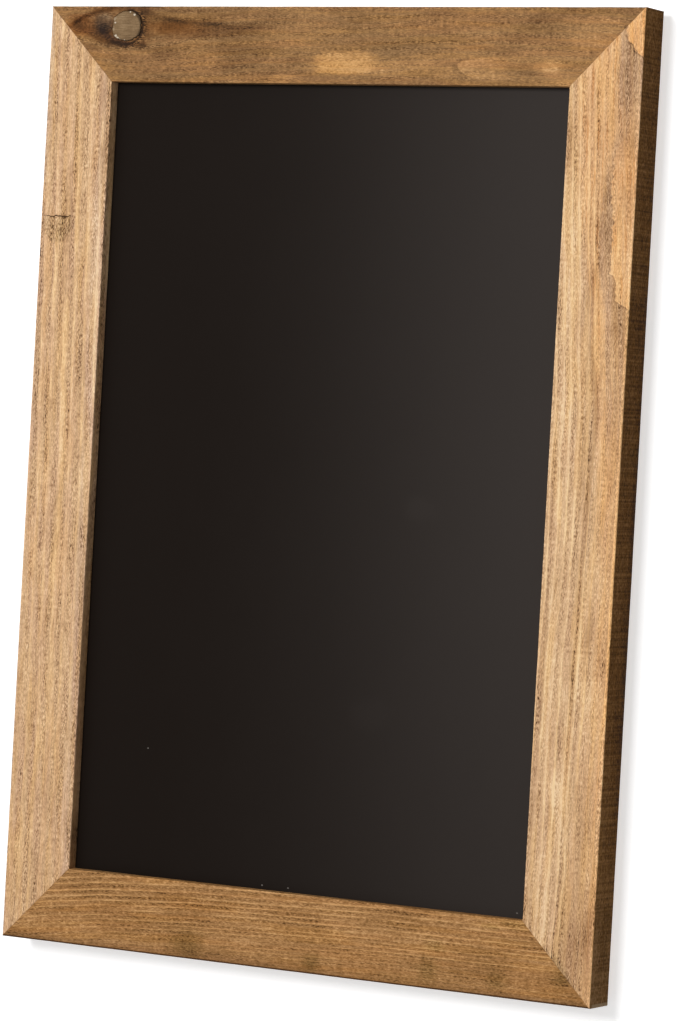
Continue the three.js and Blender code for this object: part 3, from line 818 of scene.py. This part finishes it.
def steel(name, dark, light, roughness):
    """Sheet or wire steel, with rolling marks, handling smears and a little tarnish."""
    shader = Shader(name)
    x, y, z = shader.place()
    brush = shader.noise(x / 0.25, y / 0.25, z / 2.5)
    smear = shader.noise(x / 3.5, y / 3.5, z / 3.5, detail=3, roughness=0.6)
    tone = smear + (brush - 0.5) * 0.3
    colour = shader.ramp(tone, [(0.3, dark), (0.65, light)])
    rough = roughness + (smear - 0.5) * 0.25 + (brush - 0.5) * 0.12
    return shader.finish(colour, rough, shader.bump(brush, 0.01, 0.5), metallic=1)


def rubber():
    shader = Shader("bumper_rubber")
    x, y, z = shader.place()
    dust = shader.noise(x / 1.2, y / 1.2, z / 1.2, detail=4, roughness=0.7)
    colour = shader.ramp(dust, [(0.35, (0.012, 0.012, 0.012)), (0.75, (0.045, 0.042, 0.04))])
    return shader.finish(colour, 0.72 + (dust - 0.5) * 0.3, shader.bump(dust, 0.03, 0.5), specular=0.35)


def piece(name, mesh_maker, material, body, slot, *nodes, smooth=35):
    """A finished piece from a bmesh: it rides a body, and stands for CAD nodes if any are named."""
    mesh = bpy.data.meshes.new(name)
    mesh_maker.to_mesh(mesh)
    mesh_maker.free()
    mesh.materials.append(material)
    mesh.shade_smooth()
    mesh.set_sharp_from_angle(angle=math.radians(smooth))
    made = bpy.data.objects.new(name, mesh)
    bpy.context.scene.collection.objects.link(made)
    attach(made, body)
    if nodes:
        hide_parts(*nodes)
    return made


# Each rail's turn about y from the top one, its length, and how far its outer edge is from the board's middle
SIDES = {
    "top": {"turn": 0, "length": RIGHT - LEFT, "reach": (TOP - BOTTOM) / 2},
    "right": {"turn": 90, "length": TOP - BOTTOM, "reach": RIGHT},
    "bottom": {"turn": 180, "length": RIGHT - LEFT, "reach": (TOP - BOTTOM) / 2},
    "left": {"turn": -90, "length": TOP - BOTTOM, "reach": RIGHT},
}
ARRIS_STEPS = 4
SAME_PLACE = 0.001 * MM


def rail_section():
    """The rail's section as points: distance in from the outer edge, and depth behind the front face."""
    width, deep = RAIL_WIDTH, RAIL_BACK - FRONT
    land = width - REBATE
    corners = [
        (0, 0, 0.9 * MM),
        (width, 0, 0.6 * MM),
        (width, LIP, 0.25 * MM),
        (land, LIP, 0),
        (land, deep, 0.4 * MM),
        (0, deep, 0.9 * MM),
    ]
    points = []
    for i, (x, y, radius) in enumerate(corners):
        here = Vector((x, y))
        if radius == 0:
            points.append(here)
            continue
        before = (Vector(corners[i - 1][:2]) - here).normalized()
        after = (Vector(corners[(i + 1) % len(corners)][:2]) - here).normalized()
        centre = here + (before + after) * radius
        for step in range(ARRIS_STEPS + 1):
            angle = math.radians(90 * step / ARRIS_STEPS)
            points.append(centre - after * radius * math.cos(angle) - before * radius * math.sin(angle))
    return points


def spaced(points, pitch):
    """The closed outline with more points on its long straight stretches."""
    out = []
    for i, here in enumerate(points):
        after = points[(i + 1) % len(points)]
        count = max(1, round((after - here).length / pitch))
        out.extend(here.lerp(after, k / count) for k in range(count))
    return out


def rail_turn(side):
    """From a rail's own frame (x along, z = 0 at its outer edge, inward negative) to the board's."""
    turn = math.radians(SIDES[side]["turn"])
    outward = Vector((math.sin(turn), 0, math.cos(turn))) * SIDES[side]["reach"]
    return Matrix.Translation(outward + Vector((0, 0, MIDDLE))) @ Matrix.Rotation(turn, 4, "Y")


def rail_mesh(side):
    """A mitred rail: its section swept along, cut at 45 degrees and roughened as a sawn face is."""
    length = SIDES[side]["length"]
    pitch, spare, mitre_gap = 2 * MM, 3 * MM, 0.06 * MM
    bm = bmesh.new()
    start = -length / 2 - spare
    outline = [bm.verts.new((start, FRONT + p.y, -p.x)) for p in spaced(rail_section(), pitch)]
    edges = [bm.edges.new((v, outline[(i + 1) % len(outline)])) for i, v in enumerate(outline)]
    steps = round((length + 2 * spare) / pitch)
    sweep = Vector(((length + 2 * spare) / steps, 0, 0))
    bmesh.ops.spin(bm, geom=outline + edges, axis=(1, 0, 0), cent=(0, 0, 0), dvec=sweep, angle=0, steps=steps)
    for way in (-1, 1):
        bmesh.ops.bisect_plane(
            bm,
            geom=bm.verts[:] + bm.edges[:] + bm.faces[:],
            plane_co=(way * (length / 2 - mitre_gap), 0, 0),
            plane_no=(way, 0, -1),
            clear_outer=True,
        )
        rim = [e for e in bm.edges if e.is_boundary and way * e.verts[0].co.x > 0]
        bmesh.ops.holes_fill(bm, edges=rim)
    joined(bm)
    roughen(bm, length, PINE[side]["seed"])
    bm.transform(rail_turn(side))
    bm.normal_update()
    return bm


def roughen(bm, length, seed):
    """Sinks the vertices a little, more along the arrises, but none on a mitre or where the sheet sits."""
    width, depth, edge = RAIL_WIDTH, RAIL_BACK - FRONT, 1 * MM
    for v in bm.verts:
        x, y, z = v.co
        inward, deep = -z, y - FRONT
        on_mitre = abs(abs(x) + inward - length / 2) < 0.3 * MM
        under_sheet = abs(deep - LIP) < 0.4 * MM and inward > width - REBATE - 0.5 * MM
        if on_mitre or under_sheet:
            continue
        level = noise.noise(Vector((x * 60, y * 260, z * 260 + seed)))
        fine = noise.noise(Vector((x * 330 + seed, y * 700, z * 700)))
        at_arris = min(inward, width - inward) < edge and min(deep, depth - deep) < edge
        sink = (0.05 + 0.05 * level + 0.03 * fine) * (1.5 if at_arris else 1) * MM
        v.co -= v.normal * max(sink, 0)


def joined(bm):
    """Merges vertices at one place, and turns the faces outwards."""
    bmesh.ops.remove_doubles(bm, verts=bm.verts, dist=SAME_PLACE)
    bmesh.ops.recalc_face_normals(bm, faces=bm.faces)
    return bm


def ease(bm, edges, offset, segments):
    """Rounds edges over."""
    shape = {"offset_type": "OFFSET", "affect": "EDGES", "profile": 0.5, "material": -1}
    bmesh.ops.bevel(bm, geom=edges, offset=offset, segments=segments, **shape)


def turned(node, profile, steps):
    """A solid turned about a round CAD node's axis, from its profile as pairs of radius and y."""
    x, _, z = middle_of(node)
    bm = bmesh.new()
    verts = [bm.verts.new((x + radius, y, z)) for radius, y in profile]
    edges = [bm.edges.new(pair) for pair in zip(verts, verts[1:])]
    axis = {"cent": (x, 0, z), "axis": (0, 1, 0)}
    bmesh.ops.spin(bm, geom=verts + edges, angle=2 * math.pi, steps=steps, use_merge=True, **axis)
    return joined(bm)


def middle_of(node):
    return [(a + b) / 2 for a, b in zip(*corners_of(node))]


def corners_of(node):
    return [Vector(corner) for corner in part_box(node)]


def quarter(centre, radius, start=0, end=90, steps=6):
    """Points along an arc, from one angle in degrees to another."""
    for i in range(steps + 1):
        angle = math.radians(start + (end - start) * i / steps)
        yield centre[0] + radius * math.cos(angle), centre[1] + radius * math.sin(angle)


def flat_outline(points, low, high):
    """A closed prism between two depths from an outline in x and z."""
    bm = bmesh.new()
    face = bm.faces.new([bm.verts.new((x, low, z)) for x, z in points])
    grown = bmesh.ops.extrude_face_region(bm, geom=[face])["geom"]
    far_end = [g for g in grown if isinstance(g, bmesh.types.BMVert)]
    bmesh.ops.translate(bm, verts=far_end, vec=(0, high - low, 0))
    bmesh.ops.recalc_face_normals(bm, faces=bm.faces)
    return bm


def carve(target, cutter):
    """Cuts a bmesh out of a finished piece for good."""
    mesh = bpy.data.meshes.new("cutter")
    cutter.to_mesh(mesh)
    cutter.free()
    tool = bpy.data.objects.new("cutter", mesh)
    bpy.context.scene.collection.objects.link(tool)
    cut = target.modifiers.new("carve", "BOOLEAN")
    cut.operation = "DIFFERENCE"
    cut.solver = "EXACT"
    cut.object = tool
    bpy.context.view_layer.update()
    graph = bpy.context.evaluated_depsgraph_get()
    result = bpy.data.meshes.new_from_object(target.evaluated_get(graph))
    target.modifiers.clear()
    target.data = result
    bpy.data.objects.remove(tool)


def knot_outline(grow):
    """The knot's uneven rim in x and z, made larger by grow millimetres."""
    points = []
    steps = 96
    for i in range(steps):
        angle = 2 * math.pi * i / steps
        uneven = 0
        for scale, amount in ((1.6, 1), (4.3, 0.7), (9.5, 0.45)):
            uneven += amount * noise.noise(Vector((math.cos(angle) * scale, math.sin(angle) * scale, 7.3)))
        gap = grow * (0.6 + 0.4 * math.cos(angle))
        across = (KNOT["half_length"] + gap + uneven) * math.cos(angle)
        down = (KNOT["half_width"] + gap + uneven) * math.sin(angle)
        points.append((LEFT + (KNOT["run"] + across) * MM, TOP - (KNOT["inward"] + down) * MM))
    return points


def crack_outline():
    """The ragged crack across the outer half of the left rail, as a thin closed outline in x and z."""
    steps = 22
    upper, lower = [], []
    for i in range(steps + 1):
        share = i / steps
        inward = CRACK["start"] + (CRACK["end"] - CRACK["start"]) * share
        jag = 1.1 * noise.noise(Vector((inward * 0.55, 3, 0)))
        jag += 0.5 * noise.noise(Vector((inward * 1.9, 8, 0)))
        half = (0.22 + 0.2 * share) * math.sin(math.pi * min(max(share, 0.03), 0.97)) ** 0.5
        x = LEFT + inward * MM
        z = TOP - (CRACK["run"] + jag) * MM
        upper.append((x, z + half * MM))
        lower.append((x, z - half * MM))
    return upper + lower[::-1]


def refined(node, edge, angle=30):
    """A merged copy of a CAD node with its hard edges eased."""
    bm = bmesh.new()
    bm.from_mesh(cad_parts[node].data)
    bmesh.ops.remove_doubles(bm, verts=bm.verts, dist=2 * SAME_PLACE)
    bmesh.ops.dissolve_limit(bm, angle_limit=math.radians(1), verts=bm.verts, edges=bm.edges)
    ease(bm, [e for e in bm.edges if e.is_manifold and e.calc_face_angle(0) > math.radians(angle)], edge, 2)
    bmesh.ops.recalc_face_normals(bm, faces=bm.faces)
    return bm


# The hanger rings: wire radius, half width, height and the radius of the two corners
RING_WIRE, RING_HALF, RING_HEIGHT, RING_CORNER = 1 * MM, 9 * MM, 15.5 * MM, 2.5 * MM
WIRE_SIDES = 20


def ring_mesh(node, upright):
    """D-ring of round wire. An upright one's bar is along x with its arch below, another's along z."""
    side = RING_HALF - RING_CORNER
    line = list(quarter((-RING_CORNER, side), RING_CORNER, 0, 90, 10))
    line += quarter((RING_HALF - RING_HEIGHT, 0), RING_HALF, 90, 270, 40)
    line += quarter((-RING_CORNER, -side), RING_CORNER, -90, 0, 10)
    line = [Vector(p) for p in line]
    x, y, z = middle_of(node)
    bm = bmesh.new()
    rings = []
    for i, p in enumerate(line):
        into = (p - line[i - 1]).normalized()
        out = (line[(i + 1) % len(line)] - p).normalized()
        along = (into + out).normalized()
        across = Vector((-along.y, along.x))
        loop = []
        for k in range(WIRE_SIDES):
            angle = 2 * math.pi * k / WIRE_SIDES
            q = p + across * RING_WIRE * math.cos(angle)
            deep = y + RING_WIRE * math.sin(angle)
            loop.append(bm.verts.new((q.y, deep, q.x) if upright else (q.x, deep, q.y)))
        rings.append([bm.edges.new((v, loop[(k + 1) % WIRE_SIDES])) for k, v in enumerate(loop)])
    for i, edges in enumerate(rings):
        bmesh.ops.bridge_loops(bm, edges=edges + rings[(i + 1) % len(rings)])
    high = corners_of(node)[1]
    shift = (x, 0, high.z - RING_WIRE) if upright else (high.x - RING_WIRE, 0, z)
    bmesh.ops.translate(bm, verts=bm.verts, vec=shift)
    bmesh.ops.recalc_face_normals(bm, faces=bm.faces)
    return bm


def screw_mesh(node):
    """Round head wood screw: a turned head on a plain, pointed shank."""
    low, high = corners_of(node)
    shank, point, rise, chamfer = 1.5 * MM, 4 * MM, 2.2 * MM, 0.12 * MM
    head = (high.x - low.x) / 2
    seat = high.y - rise + 0.02 * MM
    profile = [(0, low.y), (shank, low.y + point), (shank, seat)]
    profile += [(head - chamfer, seat), (head, seat + chamfer)]
    for i in range(1, 11):
        angle = math.radians(90 * i / 10)
        y = seat + 0.1 * MM + (rise - 0.12 * MM) * math.sin(angle)
        profile.append((head * math.cos(angle) if i < 10 else 0, y))
    return turned(node, profile, 40)


def screw_slot(node, turn):
    """The cutter of a screw's straight slot, turned by some degrees."""
    x, _, z = middle_of(node)
    bm = bmesh.new()
    bmesh.ops.create_cube(bm, size=1)
    length, depth, width = 9 * MM, 1 * MM, 0.95 * MM
    bmesh.ops.scale(bm, verts=bm.verts, vec=(length, 2 * depth, width))
    bmesh.ops.rotate(bm, verts=bm.verts, cent=(0, 0, 0), matrix=Matrix.Rotation(math.radians(turn), 3, "Y"))
    bmesh.ops.translate(bm, verts=bm.verts, vec=(x, corners_of(node)[1].y, z))
    return bm


def bumper_mesh(node):
    """Tapered rubber disc with a rounded rim and a shallow moulded ring."""
    low, high = corners_of(node)
    foot, tall = (high.x - low.x) / 2, high.y - low.y
    rim, top, hollow = 0.8 * MM, foot - 1 * MM, 0.15 * MM
    profile = [(0, 0), (foot - 0.15 * MM, 0), (foot, 0.2 * MM), (foot - 0.1 * MM, 0.8 * MM)]
    profile += quarter((top - rim, tall - rim), rim)
    profile += [(2.2 * MM, tall), (2 * MM, tall - hollow), (0, tall - hollow)]
    return turned(node, [(radius, low.y + y) for radius, y in profile], 48)


def build_rails():
    slots = {"top": "dark_pine", "right": "light_pine", "bottom": "dark_pine", "left": "light_pine"}
    for side, slot in slots.items():
        node = f"{side}_rail"
        rail = piece(f"{node}_wood", rail_mesh(side), pine(side), "frame", slot, node, smooth=40)
        if side == "top":
            set_knot(rail)
        if side == "left":
            crack_depth = 0.8 * MM
            carve(rail, flat_outline(crack_outline(), FRONT - 1 * MM, FRONT + crack_depth))


def set_knot(rail):
    """Hollows the top rail and sets the knot into the hollow."""
    hollow, sunk = 1.6 * MM, 0.02 * MM
    carve(rail, flat_outline(knot_outline(0.6), FRONT - 1 * MM, FRONT + hollow))
    knot = flat_outline(knot_outline(0), FRONT + sunk, FRONT + hollow + 0.2 * MM)
    rim = [e for e in knot.edges if all(v.co.y < FRONT + 0.1 * MM for v in e.verts)]
    ease(knot, rim, 0.25 * MM, 3)
    piece("knot", knot, knot_wood(), "frame", "dark_pine", smooth=50)


def build_sheet():
    for node, material in (("writing_sheet", chalk_coating()), ("backer", hardboard())):
        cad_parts[node].data.materials.clear()
        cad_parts[node].data.materials.append(material)


# How far the nails' backs stand out of the rails
NAIL_PROUD = 0.22 * MM


def build_hardware():
    bare = steel("bare_steel", (0.17, 0.17, 0.175), (0.36, 0.36, 0.36), 0.4)
    plated = steel("nickel_plate", (0.26, 0.25, 0.23), (0.5, 0.48, 0.44), 0.24)
    black = rubber()
    for node in sorted(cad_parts):
        if "_tab_" in node:
            piece(f"{node}_steel", refined(node, 0.12 * MM), bare, "frame", "bare_steel", node)
        elif "_corner_nail_" in node:
            nail = refined(node, 0.08 * MM)
            bmesh.ops.translate(nail, verts=nail.verts, vec=(0, NAIL_PROUD, 0))
            piece(f"{node}_steel", nail, bare, "frame", "bare_steel", node)
        elif node.endswith("_strap"):
            piece(f"{node}_steel", refined(node, 0.14 * MM, angle=40), plated, "frame", "plated_steel", node)
        elif node.endswith("_ring"):
            side = node.split("_")[0]
            wire = ring_mesh(node, side in ("left", "right"))
            piece(f"{node}_wire", wire, plated, f"{side}_ring", "plated_steel", node, smooth=60)
        elif node.endswith("_screw"):
            screw = piece(f"{node}_steel", screw_mesh(node), plated, "frame", "plated_steel", node)
            own_turn = 25 + 40 * len(node)
            carve(screw, screw_slot(node, own_turn))
        elif node.endswith("_bumper"):
            piece(f"{node}_rubber", bumper_mesh(node), black, "frame", "rubber", node)


WHITE = (1, 1, 1, 1)


def studio_world():
    """Soft light from all round, and plain white wherever the background itself is seen."""
    world = bpy.data.worlds.new("studio")
    bpy.context.scene.world = world
    world.use_nodes = True
    nodes = Nodes(world.node_tree)
    light = nodes.node("Background", None, {"Color": WHITE, "Strength": 0.27})
    white = nodes.node("Background", None, {"Color": WHITE, "Strength": 1})
    nodes.show("OutputWorld", nodes.surfaces(nodes.seen(), light, white))


def stage_plane(name, size, centre, turn, material):
    """A square of the studio, turned about x by some degrees."""
    bm = bmesh.new()
    bmesh.ops.create_grid(bm, x_segments=1, y_segments=1, size=size)
    bm.transform(Matrix.Translation(centre) @ Matrix.Rotation(math.radians(turn), 4, "X"))
    mesh = bpy.data.meshes.new(name)
    bm.to_mesh(mesh)
    bm.free()
    mesh.materials.append(material)
    made = bpy.data.objects.new(name, mesh)
    bpy.context.scene.collection.objects.link(made)


def pale_ground(nodes, glow, albedo):
    """A white ground that keeps the object's shadow: some light of its own, and the rest from the lamps."""
    own = nodes.node("Emission", None, {"Strength": glow})
    lit = nodes.node("BsdfDiffuse", None, {"Color": (albedo, albedo, albedo, 1)})
    return nodes.node("AddShader", None, {0: own, 1: lit})


def studio_floor():
    material = new_material("pale_floor")
    nodes = Nodes(material.node_tree)
    plain = nodes.node("BsdfDiffuse", None, {"Color": (0.45, 0.45, 0.45, 1)})
    nodes.show("OutputMaterial", nodes.surfaces(nodes.seen(), plain, pale_ground(nodes, 0.86, 0.3)))
    below = 0.35
    stage_plane("floor", 6, Vector((0, 0, BOTTOM - below)), 0, material)


def studio_wall():
    """A wall that only the camera sees, and only from the front, so that the back can be looked at."""
    material = new_material("pale_wall")
    nodes = Nodes(material.node_tree)
    clear = nodes.node("BsdfTransparent")
    camera_ray = nodes.node("LightPath", output="Is Camera Ray")
    behind = nodes.node("NewGeometry", output="Backfacing")
    clamped = {"operation": "SUBTRACT", "use_clamp": True}
    front = nodes.node("Math", clamped, {0: camera_ray, 1: behind})
    nodes.show("OutputMaterial", nodes.surfaces(front, clear, pale_ground(nodes, 0.57, 0.75)))
    gap_behind = 0.6 * MM
    stage_plane("wall", 4, Vector((0, gap_behind, MIDDLE)), 90, material)


def softbox(name, place, aim, size, power):
    lamp = bpy.data.lights.new(name, "AREA")
    lamp.shape = "SQUARE"
    lamp.size = size
    lamp.energy = power
    made = bpy.data.objects.new(name, lamp)
    made.location = place
    made.rotation_euler = (Vector(aim) - Vector(place)).to_track_quat("-Z", "Y").to_euler()
    bpy.context.scene.collection.objects.link(made)


def studio_lights():
    middle = (0, FRONT, MIDDLE)
    softbox("key", (-0.3, -2.8, MIDDLE + 0.75), middle, 0.8, 58)
    softbox("back_fill", (-1.4, 2.3, MIDDLE + 1.2), middle, 1.6, 45)


def camera():
    data = bpy.data.cameras.new("camera")
    data.lens = CAMERA_LENS
    data.sensor_width = 36
    data.clip_end = 50
    made = bpy.data.objects.new("camera", data)
    made.location = CAMERA_PLACE
    made.rotation_euler = [math.radians(a) for a in CAMERA_TURN]
    bpy.context.scene.collection.objects.link(made)
    bpy.context.scene.camera = made


camera()
build_rails()
build_sheet()
build_hardware()
studio_world()
studio_floor()
studio_wall()
studio_lights()
bpy.context.scene.view_settings.view_transform = "Standard"
